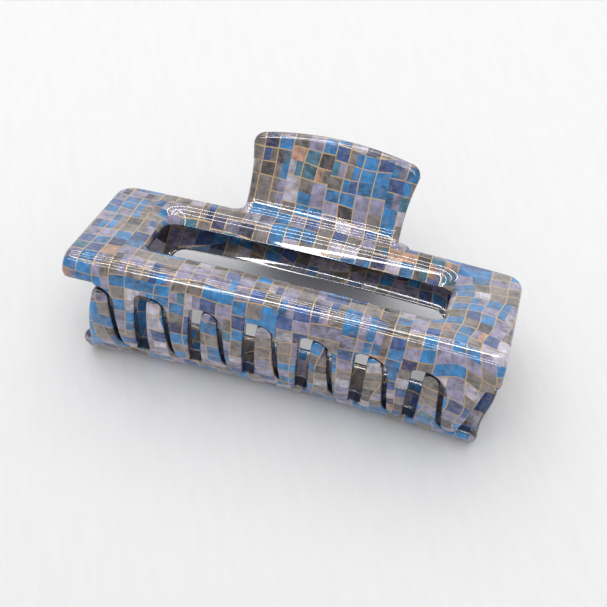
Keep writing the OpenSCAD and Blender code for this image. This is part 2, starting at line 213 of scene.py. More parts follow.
class MosaicLook(bpy.types.PropertyGroup):
    """Shell mosaic film under lacquer."""
    tile_x: length("Tile width", "Width of a tile along the clip", 3.7 * MM)
    tile_t: length("Tile height", "Height of a tile across the bars", 3.5 * MM)
    line: length("Line", "Width of the gold lines", 0.26 * MM)
    drift_x: number("Drift along", "Wander of the film along the clip, in mm", 3.0)
    drift_t: number("Drift across", "Wander of the film across the bars, in mm", 7.0)
    swirl: number("Swirl", "Extra wander at the right end, in mm", 7.0)
    scatter: number("Scatter", "Spread of the tones from tile to tile", 0.70)
    gather: number("Gather", "Spread of the tones from patch to patch", 1.3)
    streaks: number("Streaks", "Contrast of the fine streaks in a tile", 1.7)
    clouds: number("Clouds", "Contrast of the soft clouds in a tile", 2.3)
    blush: number("Blush", "Share of the rosy sheen where it shows", 0.28)
    bare_x: number("Bare uprights", "Share of the upright joints without gold", 0.22)
    bare_t: number("Bare levels", "Share of the level joints without gold", 0.30)
    azure: colour("Azure", "Bright blue tiles", (0.008, 0.168, 0.410))
    cobalt: colour("Cobalt", "Deep blue tiles", (0.019, 0.068, 0.230))
    navy: colour("Navy", "Darkest blue tiles", (0.004, 0.011, 0.080))
    teal: colour("Teal", "Green-blue tiles", (0.032, 0.145, 0.215))
    lilac: colour("Lilac", "Pale violet tiles", (0.240, 0.222, 0.335))
    pearl: colour("Pearl", "Pale grey-violet tiles", (0.410, 0.380, 0.445))
    taupe: colour("Taupe", "Warm grey tiles", (0.180, 0.155, 0.142))
    charcoal: colour("Charcoal", "Dark brown-grey tiles", (0.038, 0.032, 0.034))
    peach: colour("Peach", "Salmon tiles", (0.440, 0.240, 0.155))
    gold: colour("Gold", "Thin lines between tiles", (0.520, 0.350, 0.150))
    rose: colour("Rose", "Rosy sheen over the tiles", (0.300, 0.225, 0.240))
    base: colour("Base", "Dark base that shows at the cut sides", (0.006, 0.010, 0.030))
    # painted shade: a near-black tone mixed into the inner face for the shadow inside the
    # clip
    inner_shade: colour("Dull", "Tone that dulls the inner face", (0.020, 0.016, 0.018))


class StageLook(bpy.types.PropertyGroup):
    """Camera, floor and lamps."""
    camera: FloatVectorProperty(name="Camera", description="Place of the camera",
                                default=(0.0443, -0.1754, 0.2470), size=3,
                                subtype="TRANSLATION", unit="LENGTH")
    aim: FloatVectorProperty(name="Aim", description="Point that the camera looks at",
                             default=(0.0019, -0.0102, 0.0182), size=3,
                             subtype="TRANSLATION", unit="LENGTH")
    roll: angle("Roll", "Turn of the camera about its view", 2.1075)
    lens: number("Lens", "Focal length in millimetres", 69.18, low=10.0)
    floor: colour("Floor", "Pale table top", (0.900, 0.895, 0.890))
    strips: IntProperty(name="Strips", description="Narrow lamps over the clip", default=6)
    strip_low: angle("First strip", "Rise of the first strip behind the clip", 46)
    strip_step: angle("Strip step", "Angle from one strip to the next", 14)
    strip_power: number("Strip power", "Watts of each narrow lamp", 3.4)
    key_power: number("Key power", "Watts of the broad soft lamp", 21.0)
    wall_power: number("Wall power", "Watts of the pale wall behind", 13.0)
    fill: number("Fill", "Strength of the surroundings", 0.68)


# ---- selecting and small mesh steps ----


def only(piece):
    """Selects one object and makes it active."""
    bpy.ops.object.select_all(action="DESELECT")
    piece.select_set(True)
    bpy.context.view_layer.objects.active = piece


def apply_modifier(piece, kind, **settings):
    """Adds a modifier with these settings and applies it."""
    only(piece)
    modifier = piece.modifiers.new(kind.title(), kind)
    for key, value in settings.items():
        setattr(modifier, key, value)
    bpy.ops.object.modifier_apply(modifier=modifier.name)


def combine(piece, other, operation):
    """Joins another solid to a piece, or cuts it away, and removes the other one."""
    apply_modifier(piece, "BOOLEAN", object=other, operation=operation, solver="EXACT")
    bpy.data.objects.remove(other)


def make_consistent(piece):
    """Merges doubles and points every face outwards."""
    only(piece)
    bpy.ops.object.mode_set(mode="EDIT")
    bpy.ops.mesh.select_all(action="SELECT")
    bpy.ops.mesh.remove_doubles(threshold=1e-6)
    bpy.ops.mesh.normals_make_consistent(inside=False)
    bpy.ops.object.mode_set(mode="OBJECT")


def points_of(piece):
    """The vertices of a piece as an array."""
    flat = np.empty(len(piece.data.vertices) * 3)
    piece.data.vertices.foreach_get("co", flat)
    return flat.reshape(-1, 3)


def set_points(piece, points):
    """Moves the vertices of a piece to these places."""
    piece.data.vertices.foreach_set("co", points.ravel())
    piece.data.update()


def arc(centre, radius, start, end, steps=12):
    """Points on an arc; the angles are in degrees."""
    turns = (math.radians(start + (end - start) * i / steps) for i in range(steps + 1))
    return [(centre[0] + radius * math.cos(a), centre[1] + radius * math.sin(a))
            for a in turns]


def curve_piece(name, data, paths, closed):
    """A mesh piece from a curve with these paths."""
    for path in paths:
        spline = data.splines.new("POLY")
        spline.points.add(len(path) - 1)
        for point, place in zip(spline.points, path):
            point.co = (*place, 1)
        spline.use_cyclic_u = closed
    piece = bpy.data.objects.new(name, data)
    bpy.context.scene.collection.objects.link(piece)
    only(piece)
    bpy.ops.object.convert(target="MESH")
    return bpy.context.view_layer.objects.active


def slab(name, outlines, thickness, rounding):
    """A flat sheet with rounded edges from closed outlines, the first one the outside."""
    data = bpy.data.curves.new(name, "CURVE")
    data.dimensions = "2D"
    data.fill_mode = "BOTH"
    data.bevel_depth = rounding
    data.extrude = thickness / 2 - rounding
    data.offset = -rounding
    data.bevel_resolution = 5
    paths = [[(x, y, 0) for x, y in outline] for outline in outlines]
    piece = curve_piece(name, data, paths, closed=True)
    make_consistent(piece)
    return piece


def cross_cylinder(name, radius, run, place):
    """A cylinder along the clip with its middle at this place."""
    bpy.ops.object.select_all(action="DESELECT")
    bpy.ops.mesh.primitive_cylinder_add(vertices=64, radius=radius, depth=run,
                                        rotation=(0, math.pi / 2, 0), location=place)
    bpy.ops.object.transform_apply(location=True, rotation=True)
    piece = bpy.context.object
    piece.name = name
    return piece


def coat(piece, material):
    """Gives a piece this material and no other."""
    piece.data.materials.clear()
    piece.data.materials.append(material)


def smooth(low, high, value):
    """Eases from 0 at low to 1 at high."""
    share = np.clip((value - low) / (high - low), 0, 1)
    return share * share * (3 - 2 * share)


# ---- the sheet of a jaw ----


class Sheet:
    """Works out a jaw's flat blank and wraps it to shape.

    x runs along the clip, t along the sheet from the rear edge to the teeth, and n outwards
    from the outer face. The wrapped section is worked out as s along the plate, from the
    mouth edge to the rear, and h square to it.
    """

    def __init__(self, scene):
        self.jaw = jaw = scene.clip_jaw
        self.window = scene.clip_window
        self.tooth = tooth = scene.clip_teeth
        self.handle = handle = scene.clip_handle
        drop = jaw.mouth_height - jaw.rear_height
        self.slope = math.atan2(drop, jaw.depth)
        self.plate = math.hypot(drop, jaw.depth)
        self.half = jaw.clip_length / 2
        self.bow_radius = (self.half ** 2 + jaw.bow ** 2) / (2 * jaw.bow)
        # the mouth wall is an arc about the hinge, and the long bend touches it
        self.mouth_radius = math.hypot(jaw.hinge_distance, jaw.mouth_height)
        self.hinge = self.on_plate(jaw.hinge_distance, 0)
        self.hinge_y = jaw.hinge_distance + jaw.bow * math.cos(self.slope)
        rise = self.hinge[1] + jaw.bend_radius
        reach = self.mouth_radius - jaw.bend_radius
        self.bend = (self.hinge[0] - math.sqrt(reach ** 2 - rise ** 2), -jaw.bend_radius)
        self.bend_end = math.pi + math.atan2(self.hinge[1] - self.bend[1],
                                             self.hinge[0] - self.bend[0])
        # places along the sheet, from the rear edge towards the teeth
        self.t_bend = self.plate - self.bend[0]
        self.t_wall = self.t_bend + jaw.bend_radius * (self.bend_end - math.pi / 2)
        self.t_bar = self.t_at_height(tooth.underside)
        self.t_tip = self.t_at_height(-(tooth.underside - tooth.clearance))
        self.fold = handle.rise + self.slope
        self.t_fold = handle.fold_radius * math.tan(self.fold / 2)
        self.t_blade = self.t_fold - handle.fold_radius * self.fold

    def on_plate(self, y, z):
        """A level point written along the plate and square to it."""
        z = z - self.jaw.mouth_height
        return (y * math.cos(self.slope) - z * math.sin(self.slope),
                y * math.sin(self.slope) + z * math.cos(self.slope))

    def off_plate(self, s, h):
        """A place along the plate and square to it, written level again."""
        return (s * math.cos(self.slope) + h * math.sin(self.slope),
                self.jaw.mouth_height - s * math.sin(self.slope) + h * math.cos(self.slope))

    def t_at_height(self, z):
        """Place along the sheet where the mouth wall is this high above the middle."""
        turn = math.pi - math.asin(z / self.mouth_radius) + self.slope
        return self.t_wall + self.mouth_radius * (turn - self.bend_end)

    def hang(self, x):
        """Extra drop of the toothed row at this place along the clip."""
        return self.tooth.drop + self.tooth.lean * x

    def tooth_places(self):
        """Middles of the teeth along the clip."""
        tooth = self.tooth
        return [tooth.shift + (i - (tooth.count - 1) / 2) * tooth.pitch
                for i in range(tooth.count)]

    def frame_outline(self):
        """Outside of the blank without its teeth, from the rear right corner."""
        jaw = self.jaw
        corner, nose = jaw.rear_corner, jaw.nose_corner
        points = arc((self.half - corner, corner), corner, -90, 0)
        for side, start in ((1, 0), (-1, 90)):
            low = self.t_bar + self.hang(side * self.half)
            points += arc((side * (self.half - nose), low - nose), nose, start, start + 90)
        points += arc((-self.half + corner, corner), corner, 180, 270)
        return points + self.handle_outline()

    def comb_outline(self):
        """The row of teeth with the underside of the bar, from right to left."""
        tooth = self.tooth
        # the left corner of a tip is rounder than the right one
        small = tooth.tip * 0.35
        large = tooth.tip * 0.65
        foot, tip = tooth.root / 2, tooth.tip / 2
        places = self.tooth_places()
        points = []
        for x in reversed(places):
            if x == places[-1]:
                points += self.flared_side(x + tip)
            else:
                points += arc((x + foot + tooth.fillet, self.t_bar + tooth.fillet),
                              tooth.fillet, -90, -180)
            points += arc((x + tip - small, self.t_tip - small), small, 0, 90)
            points += arc((x - tip + large, self.t_tip - large), large, 90, 180)
            points += arc((x - foot - tooth.sweep, self.t_bar + tooth.sweep),
                          tooth.sweep, 0, -90)
        points = [(x, t + self.hang(x)) for x, t in points]
        top = self.t_bar - COMB_OVERLAP
        return [(points[0][0], top)] + points + [(points[-1][0], top)]

    def flared_side(self, tip_x):
        """Slanted outer side of the last tooth, up to its fillet under the bar."""
        tooth = self.tooth
        run = self.t_tip - self.t_bar
        lean = math.atan2(tooth.flare, run)
        x = tip_x + tooth.flare + tooth.fillet * (1 - math.sin(lean)) / math.cos(lean)
        return arc((x, self.t_bar + tooth.fillet), tooth.fillet, -90,
                   -180 + math.degrees(lean))

    def handle_outline(self):
        """The handle's tongue, from its left root round the tip to its right root."""
        handle = self.handle
        end = self.t_blade - (handle.run + handle.arch - self.t_fold)
        base, wide, corner = handle.base_width / 2, handle.tip_width / 2, handle.corner
        # three arcs that touch: the arched tip, its corner and the hollow side
        arch = (wide ** 2 + handle.arch ** 2) / (2 * handle.arch)
        middle = end + arch
        corner_x = wide - corner
        corner_t = middle - math.sqrt((arch - corner) ** 2 - corner_x ** 2)
        tip_turn = math.degrees(math.atan2(corner_x, middle - corner_t))
        step_x, step_t = base - corner_x, self.t_blade - corner_t
        hollow = (step_x ** 2 + step_t ** 2 - corner ** 2) / (2 * (corner - step_x))
        side_turn = math.degrees(math.atan2(step_t, step_x + hollow))
        root = HANDLE_FILLET
        left = arc((-base - root, -root), root, 90, 0, 6)
        left += arc((-base - hollow, self.t_blade), hollow, 0, -side_turn, 8)
        left += arc((-corner_x, corner_t), corner, 180 - side_turn, 270 - tip_turn, 8)
        tip = arc((0, middle), arch, 270 - tip_turn, 270 + tip_turn, 20)
        right = [(-x, t) for x, t in reversed(left)]
        return left + tip[1:-1] + right

    def window_outline(self):
        """The window, clockwise so that its edge is rounded towards the bars."""
        window = self.window
        near, far = self.plate - window.rear, self.plate - window.front
        wide, small, large = window.width / 2, window.front_corner, window.rear_corner
        points = arc((wide - large, near + large), large, 0, -90)
        points += arc((-wide + large, near + large), large, -90, -180)
        points += arc((-wide + small, far - small), small, 180, 90)
        points += arc((wide - small, far - small), small, 90, 0)
        return points

    def crowned(self, x, t, n):
        """Lets the outer face fall towards the window, most of all on the rear bar."""
        window = self.window
        near, far = self.plate - window.rear, self.plate - window.front
        round_off = window.rear_corner
        out_x = np.abs(x) - (window.width / 2 - round_off)
        out_t = np.maximum(near + round_off - t, t - far + round_off)
        gap = (np.hypot(np.maximum(out_x, 0), np.maximum(out_t, 0))
               + np.minimum(np.maximum(out_x, out_t), 0) - round_off)
        fall = np.clip(window.crown_width - gap, 0, window.crown_width)
        drop = window.crown - np.sqrt(window.crown ** 2 - fall ** 2)
        # all of it on the rear bar, eased to the front bar's share across the window
        share = 1 - (1 - FRONT_CROWN) * smooth(near - 2 * MM, near + 7 * MM, t)
        return n - drop * share * (1 + n / self.jaw.wall)

    def section(self, t, n):
        """Wraps sheet places to the plate's own frame, without the handle."""
        jaw = self.jaw
        s, h = self.plate - t, n.copy()
        turn = math.pi / 2 + (t - self.t_bend) / jaw.bend_radius
        bent = (t > self.t_bend) & (t <= self.t_wall)
        s = np.where(bent, self.bend[0] + (jaw.bend_radius + n) * np.cos(turn), s)
        h = np.where(bent, self.bend[1] + (jaw.bend_radius + n) * np.sin(turn), h)
        turn = self.bend_end + (t - self.t_wall) / self.mouth_radius
        wall = t > self.t_wall
        s = np.where(wall, self.hinge[0] + (self.mouth_radius + n) * np.cos(turn), s)
        h = np.where(wall, self.hinge[1] + (self.mouth_radius + n) * np.sin(turn), h)
        return s, h

    def folded(self, t, n):
        """Wraps sheet places over the hollow fold and along the handle."""
        radius = self.handle.fold_radius
        n = n * self.handle.thickness / self.jaw.wall
        turn = np.clip((self.t_fold - t) / radius, 0, self.fold)
        run = np.maximum(self.t_blade - t, 0) + np.minimum(self.t_fold - t, 0)
        s = self.plate - self.t_fold + (radius - n) * np.sin(turn) + run * np.cos(turn)
        h = radius - (radius - n) * np.cos(turn) + run * np.sin(turn)
        return s, h

    def drawn_in(self, x, t, draw_in):
        """Brings the ends of the bar in by this much, and the tooth tips not at all."""
        start = self.jaw.draw_from
        share = draw_in / (self.half - start) * smooth(self.t_bend - DRAW_IN_EASE,
                                                       self.t_bend, t)
        share = share * (1 - smooth(self.t_bar, self.t_tip, t))
        return x - np.sign(x) * share * np.maximum(np.abs(x) - start, 0)

    def wrap(self, flat, draw_in):
        """Sheet places (x, t, n) to places of the upper jaw in the level clip."""
        x, t, n = flat.T
        x = self.drawn_in(x, t, draw_in)
        n = self.crowned(x, t, n)
        s, h = self.section(t, n)
        # the handle and its root take the folded section instead
        s_fold, h_fold = self.folded(t, n)
        edge = self.handle.base_width / 2
        side = smooth(edge + FOLD_EASE, edge - MM, np.abs(x))
        share = side + (1 - side) * smooth(0, -FOLD_DEPTH, t)
        share = np.where(t < self.t_fold, share, 0)
        s = s + share * (s_fold - s)
        h = h + share * (h_fold - h)
        # the bow sets the middle of the jaw back from its ends
        s = s + self.jaw.bow - self.bow_radius + np.sqrt(self.bow_radius ** 2 - x * x)
        return np.column_stack([x, *self.off_plate(s, h)])

    def at_rest(self):
        """Matrix from the level clip to the clip as it lies."""
        return (Matrix.Translation(HINGE) @ Matrix.Rotation(self.jaw.rest_angle, 4, "X")
                @ Matrix.Translation((0, -self.hinge_y, 0)))


def keep_map(piece, name, pairs):
    """Stores two numbers per vertex as a UV map."""
    layer = piece.data.uv_layers.new(name=name)
    corners = np.empty(len(piece.data.loops), dtype=np.int32)
    piece.data.loops.foreach_get("vertex_index", corners)
    layer.data.foreach_set("uv", pairs[corners].ravel())


def jaw_blank(sheet):
    """The rounded flat blank of a jaw: x, t and n below the outer face."""
    wall = sheet.jaw.wall
    blank = slab("blank", [sheet.frame_outline(), sheet.window_outline()], wall,
                 wall * BAR_ROUNDING)
    comb = slab("comb", [sheet.comb_outline()], wall, sheet.tooth.edge)
    only(blank)
    comb.select_set(True)
    bpy.ops.object.join()
    apply_modifier(blank, "REMESH", mode="VOXEL", voxel_size=VOXEL)
    apply_modifier(blank, "SMOOTH", factor=0.5, iterations=SOFTENING)
    points = points_of(blank)
    points[:, 2] -= wall / 2 + SET_BACK
    set_points(blank, points)
    return blank


def knuckle(sheet, hinge, x):
    """A barrel round the pin with its web up to the fold, centred at x."""
    handle = sheet.handle
    y, z = sheet.off_plate(sheet.plate - sheet.t_fold + sheet.jaw.bow, handle.fold_radius)
    web = arc((y - sheet.hinge_y, z), handle.fold_radius + handle.thickness / 2,
              -90 - math.degrees(sheet.slope),
              math.degrees(handle.rise) - 90 - WEB_SHORT, 4)
    barrel = arc((0, 0), hinge.knuckle / 2, 0, -BARREL_TURN, 24)
    piece = slab("knuckle", [barrel + web], hinge.knuckle_width, KNUCKLE_EDGE)
    y, z, across = points_of(piece).T
    set_points(piece, np.column_stack([across + x, y + sheet.hinge_y, z]))
    make_consistent(piece)
    return piece


def leg_rib(sheet, x):
    """A small rib under the handle beside a spring leg, centred at x."""
    bpy.ops.object.select_all(action="DESELECT")
    bpy.ops.mesh.primitive_cube_add(size=1)
    piece = bpy.context.object
    piece.name = "rib"
    piece.scale = (2 * RIB_HALF, RIB_RUN, RIB_HEIGHT)
    bpy.ops.object.transform_apply(scale=True)
    apply_modifier(piece, "BEVEL", width=KNUCKLE_EDGE, segments=2)
    y, z = sheet.off_plate(sheet.plate + sheet.jaw.bow, 0)
    run, sink = sheet.t_fold + RIB_START, sheet.handle.thickness + RIB_SINK
    piece.data.transform(Matrix.Translation((x, y, z))
                         @ Matrix.Rotation(sheet.fold - sheet.slope, 4, "X")
                         @ Matrix.Translation((0, run, -sink)))
    return piece


def coil_half(hinge):
    """Half the length of the spring's coil, where its two legs stand."""
    return hinge.turns * (hinge.wire + TURN_GAP) / 2


def jaw_piece(name, sheet, hinge, start, bore, turned, shift):
    """One jaw with its knuckles and ribs.

    The lower jaw is the upper one turned over, with the ends of its bar drawn in. Its
    knuckles start at another distance from the middle, and its mosaic is shifted.
    """
    piece = jaw_blank(sheet)
    piece.name = name
    flat = points_of(piece)
    facing = np.empty(len(flat) * 3)
    piece.data.vertices.foreach_get("normal", facing)
    keep_map(piece, "sheet", flat[:, :2] / MM + shift)
    keep_map(piece, "side", np.column_stack([facing[2::3], np.zeros(len(flat))]))
    set_points(piece, sheet.wrap(flat, sheet.jaw.draw_in if turned else 0.0))
    make_consistent(piece)
    beside = hinge.wire / 2 + LEG_GAP + RIB_HALF
    for side in (-1, 1):
        combine(piece, knuckle(sheet, hinge, side * (start + hinge.knuckle_width / 2)),
                "UNION")
    for side in (-1, 1):
        combine(piece, leg_rib(sheet, coil_half(hinge) + side * beside), "UNION")
    combine(piece, cross_cylinder("bore", bore, BORE_LENGTH, (0, sheet.hinge_y, 0)),
            "DIFFERENCE")
    if turned:
        piece.data.transform(Matrix.Rotation(math.pi, 4, "Y"))
    piece.data.transform(sheet.at_rest())
    only(piece)
    bpy.ops.object.shade_smooth_by_angle(angle=math.radians(40))
    return piece


# where tones gather on the upper jaw: x, t, half width, half height (mm) and middle tone;
# a later zone covers an earlier one
UPPER_ZONES = (
    (-48, 38, 5.5, 5.5, 0.54),  # azure at the left nose
    (-40, 36, 3.0, 4.0, 0.03),  # charcoal beside it
    (-30, 42, 6.0, 3.6, 0.50),  # azure and cobalt along the bend
    (-14, 43, 7.0, 2.6, 0.44),  # blues and lilac above the teeth
    (-22, 34, 9.0, 3.0, 0.36),  # lilac and taupe on top of the bar
    (6, 35, 8.0, 4.0, 0.37),    # lilac and cobalt in the middle
    (22, 38, 3.0, 6.0, 0.53),   # azure column
    (-47, 13, 5.5, 9.0, 0.52),  # azure along the left side
    (-44, 3, 6.0, 3.0, 0.90),   # lilac, teal and charcoal at the rear left corner
    (-41, 16, 3.5, 8.0, 0.12),  # taupe beside the window
    (-24, 4, 7.0, 4.5, 0.35),   # lilac and taupe on the rear bar
    (26, 4, 11.0, 4.0, 0.98),   # peach on the rear bar, right of the middle
    (-6, -13, 7.5, 3.2, 0.98),  # peach on the handle
    (12, -14, 8.0, 6.0, 0.48),  # azure and cobalt on the handle
    (-16, -8, 4.5, 7.0, 0.12),  # taupe on the handle's left
    (47, 20, 4.0, 4.0, 0.53),   # azure at the right side
    (44, 31, 4.0, 3.0, 0.53),   # azure at the right end of the front bar
    (0, 8.2, 33.0, 2.0, 0.77),  # azure and navy along the window's far side
    (-34, 4, 8.0, 4.0, 0.23),   # pearl and taupe on the rear bar's left
)
ZONE_SPREAD = 0.16  # range of tones within a zone
LOWER_SHIFT = (217, 391)  # shift of the lower jaw's mosaic, in mm


class CLIP_OT_jaws(bpy.types.Operator):
    """Wraps both jaws to shape and lacquers them"""
    bl_idname = "clip.jaws"
    bl_label = "Jaws"

    def execute(self, context):
        sheet, hinge = Sheet(context.scene), context.scene.clip_hinge
        look = context.scene.clip_mosaic
        inner = hinge.bay / 2
        outer = inner + hinge.knuckle_width + hinge.gap
        plan = (("upper", inner, PIN_RADIUS + hinge.clearance, False, (0, 0), UPPER_ZONES),
                ("lower", outer, PIN_RADIUS, True, LOWER_SHIFT, ()))
        for side, start, bore, turned, shift, zones in plan:
            piece = jaw_piece(f"{side}_shell_jaw", sheet, hinge, start, bore, turned,
                              np.array(shift))
            coat(piece, mosaic_material(f"{side} shell mosaic", look, zones))
            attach(piece, side)
            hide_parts(f"{side}_jaw")
        return {"FINISHED"}


class CLIP_OT_pin(bpy.types.Operator):
    """Turns the hinge pin with its chamfered ends"""
    bl_idname = "clip.pin"
    bl_label = "Hinge pin"

    def execute(self, context):
        piece = cross_cylinder("steel_pin", PIN_RADIUS, PIN_HIGH.x - PIN_LOW.x, HINGE)
        apply_modifier(piece, "BEVEL", width=0.3 * MM, segments=3, limit_method="ANGLE",
                       angle_limit=math.radians(60))
        bpy.ops.object.shade_smooth_by_angle(angle=math.radians(35))
        coat(piece, steel_material("drawn pin steel", (0.55, 0.55, 0.57), "X"))
        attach(piece, "lower")
        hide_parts("hinge_pin")
        return {"FINISHED"}


class CLIP_OT_spring(bpy.types.Operator):
    """Winds the torsion spring and its two legs"""
    bl_idname = "clip.spring"
    bl_label = "Torsion spring"

    def execute(self, context):
        hinge, sheet = context.scene.clip_hinge, Sheet(context.scene)
        rise, radius = hinge.leg_angle, hinge.coil
        half = coil_half(hinge)
        # each leg leaves the coil at a tangent; one rises and one falls by the same angle
        span = 2 * math.pi * hinge.turns + math.pi + 2 * rise
        steps = int(span / math.radians(12))
        path = []
        for k in range(steps + 1):
            turn = math.pi / 2 + rise - k * span / steps
            path.append(Vector((half - 2 * half * k / steps, radius * math.cos(turn),
                                radius * math.sin(turn))))
        up = Vector((0, math.cos(rise), math.sin(rise)))
        down = Vector((0, math.cos(rise), -math.sin(rise)))
        path = [path[0] + hinge.leg * up] + path + [path[-1] + hinge.leg * down]
        data = bpy.data.curves.new("wire", "CURVE")
        data.dimensions = "3D"
        data.bevel_depth = hinge.wire / 2
        data.bevel_resolution = 3
        data.use_fill_caps = True
        piece = curve_piece("spring_wire", data, [path], closed=False)
        piece.data.transform(sheet.at_rest() @ Matrix.Translation((0, sheet.hinge_y, 0)))
        make_consistent(piece)
        bpy.ops.object.shade_smooth_by_angle(angle=math.radians(40))
        coat(piece, steel_material("spring steel", (0.36, 0.36, 0.38), "Z"))
        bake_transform(piece)
        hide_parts("torsion_spring")
        return {"FINISHED"}


# ---- materials ----


class Value:
    """A shader socket; arithmetic on it adds Math nodes."""

    def __init__(self, shader, socket):
        self.shader, self.socket = shader, socket

    def _math(self, operation, *values):
        return self.shader.node("ShaderNodeMath", {"operation": operation}, *values)

    def __add__(self, other):
        return self._math("ADD", self, other)

    def __sub__(self, other):
        return self._math("SUBTRACT", self, other)

    def __rsub__(self, other):
        return self._math("SUBTRACT", other, self)

    def __mul__(self, other):
        return self._math("MULTIPLY", self, other)

    def __truediv__(self, other):
        return self._math("DIVIDE", self, other)

    __radd__ = __add__

    def floor(self):
        return self._math("FLOOR", self)

    def absolute(self):
        return self._math("ABSOLUTE", self)

    def maximum(self, other):
        return self._math("MAXIMUM", self, other)

    def below(self, limit, soft=0.0):
        """1 under the limit and 0 over it, eased over a soft width."""
        if not soft:
            return self._math("LESS_THAN", self, limit)
        return self.shader.node("ShaderNodeMapRange", {"interpolation_type": "SMOOTHSTEP"},
                                self, limit - soft, limit + soft, 1.0, 0.0)

    def above(self, limit, soft=0.0):
        """1 over the limit and 0 under it."""
        return 1 - self.below(limit, soft)


class Shader:
    """Builds one material's node tree."""

    def __init__(self, name):
        self.material = bpy.data.materials.new(name)
        self.material.use_nodes = True
        self.tree = self.material.node_tree
        self.principled = self.tree.nodes["Principled BSDF"]

    def node(self, kind, settings, *values, out=0, **named):
        """Adds a node: its settings first, then the values or links of its sockets."""
        node = self.tree.nodes.new(kind)
        for key, value in settings.items():
            if key == "stops":
                self._stops(node.color_ramp, value)
            else:
                setattr(node, key, value)
        sockets = [s for s in node.inputs if s.enabled]
        for socket, value in zip(sockets, values):
            self.feed(socket, value)
        for key, value in named.items():
            self.feed(next(s for s in sockets if s.name == key.replace("_", " ")), value)
        outputs = [s for s in node.outputs if s.enabled]
        chosen = outputs[out] if isinstance(out, int) else node.outputs[out]
        return Value(self, chosen)

    def feed(self, socket, value):
        """Links a Value to a socket or sets its number."""
        if isinstance(value, Value):
            self.tree.links.new(value.socket, socket)
        elif value is not None:
            socket.default_value = value

    def _stops(self, ramp, stops):
        """Fills a colour ramp with flat steps."""
        ramp.interpolation = "CONSTANT"
        while len(ramp.elements) < len(stops):
            ramp.elements.new(1.0)
        for element, (place, tint) in zip(ramp.elements, stops):
            element.position, element.color = place, (*tint, 1.0)

    def mix(self, share, one, two):
        """Mixes two colours."""
        return self.node("ShaderNodeMix", {"data_type": "RGBA"}, share, one, two)

    def split(self, vector):
        """The first two numbers of a vector."""
        x = self.node("ShaderNodeSeparateXYZ", {}, vector, out="X")
        return x, Value(self, x.socket.node.outputs["Y"])

    def spot(self, column_at, row_at, x, t, wide, high, look):
        """1 on the tiles within an ellipse on the film, given in millimetres."""
        across = (column_at.floor() * (look.tile_x / MM) - x) * (1 / wide)
        along = (row_at.floor() * (look.tile_t / MM) - t) * (1 / high)
        return (across * across + along * along).below(1.0)

    def vector(self, x=0.0, y=0.0, z=0.0):
        """Three numbers as a vector."""
        return self.node("ShaderNodeCombineXYZ", {}, x, y, z)

    def stretched(self, vector, factors):
        """A vector with each of its numbers multiplied."""
        return self.node("ShaderNodeVectorMath", {"operation": "MULTIPLY"}, vector, factors)

    def turned(self, vector, angle):
        """A vector turned about Z."""
        return self.node("ShaderNodeVectorRotate", {"rotation_type": "Z_AXIS"},
                         Vector=vector, Angle=angle)

    def noise(self, place, scale, detail=2.0, roughness=0.5, out="Fac"):
        """Soft noise over a place."""
        return self.node("ShaderNodeTexNoise", {"noise_dimensions": "3D"}, Vector=place,
                         Scale=scale, Detail=detail, Roughness=roughness, out=out)

    def random(self, x, y, seed):
        """A number from 0 to 1 that is fixed for one tile."""
        return self.node("ShaderNodeTexWhiteNoise", {"noise_dimensions": "3D"},
                         self.vector(x, y, seed), out="Value")

    def set(self, **values):
        """Feeds sockets of the surface shader, with spaces written as underscores."""
        for key, value in values.items():
            self.feed(self.principled.inputs[key.replace("_", " ")], value)


